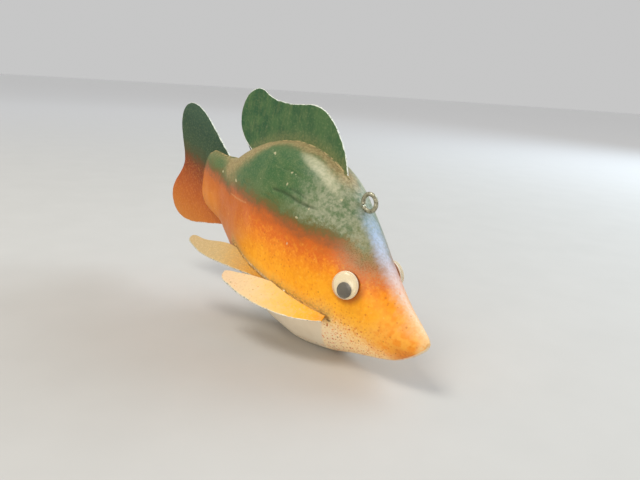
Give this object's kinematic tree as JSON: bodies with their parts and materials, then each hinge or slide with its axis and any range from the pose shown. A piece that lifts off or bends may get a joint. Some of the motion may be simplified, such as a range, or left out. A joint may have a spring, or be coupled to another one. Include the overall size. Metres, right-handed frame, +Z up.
{
  "type": "fish decoy",
  "caption": "Carved wooden panfish decoy with sheet-metal fins, screw-eye line tie, lead belly and moving-pupil eyes; hangs on a line to draw fish in ice spearing.",
  "frame": {"origin": "centre of the small flat filed on the belly, where the fish stands, at floor level", "axes": "+X towards the nose and level with the floor (the fish itself is pitched 14 degrees nose-down), +Z up, -Y the fish's right side"},
  "size_m": [0.1741, 0.0564, 0.0966],
  "materials": {
    "painted_wood": "satin",
    "lead": "matte",
    "fin_green": "satin",
    "fin_tail": "satin",
    "fin_cream": "satin",
    "filler": "matte",
    "tie_wire": "satin",
    "eye_white": "gloss",
    "pupil_black": "gloss",
    "eye_clear": "gloss",
    "glue": "gloss"
  },
  "bodies": {
    "fish": {"body": "painted_wood", "belly_ballast": "lead", "dorsal_fin": "fin_green", "tail_fin": "fin_tail", "front_fin_right": "fin_cream", "front_fin_left": "fin_cream", "rear_fin_right": "fin_cream", "rear_fin_left": "fin_cream", "dorsal_filler": "filler", "tail_filler": "filler", "front_filler_right": "filler", "front_filler_left": "filler", "rear_filler_right": "filler", "rear_filler_left": "filler", "line_tie": "tie_wire", "eye_backing_right": "eye_white", "eye_backing_left": "eye_white", "eye_dome_right": "eye_clear", "eye_dome_left": "eye_clear", "eye_pad_right": "glue", "eye_pad_left": "glue"},
    "pupil_right": {"eye_pupil_right": "pupil_black"},
    "pupil_left": {"eye_pupil_left": "pupil_black"}
  },
  "joints": [
    {"name": "pupil_swing_right", "type": "hinge", "parent": "fish", "child": "pupil_right", "pos_m": [0.02938, -0.0131, 0.03321], "axis": [0.2484, -0.9544, 0.1658], "continuous": true},
    {"name": "pupil_swing_left", "type": "hinge", "parent": "fish", "child": "pupil_left", "pos_m": [0.02938, 0.0131, 0.03321], "axis": [0.2484, 0.9544, 0.1658], "continuous": true}
  ]
}
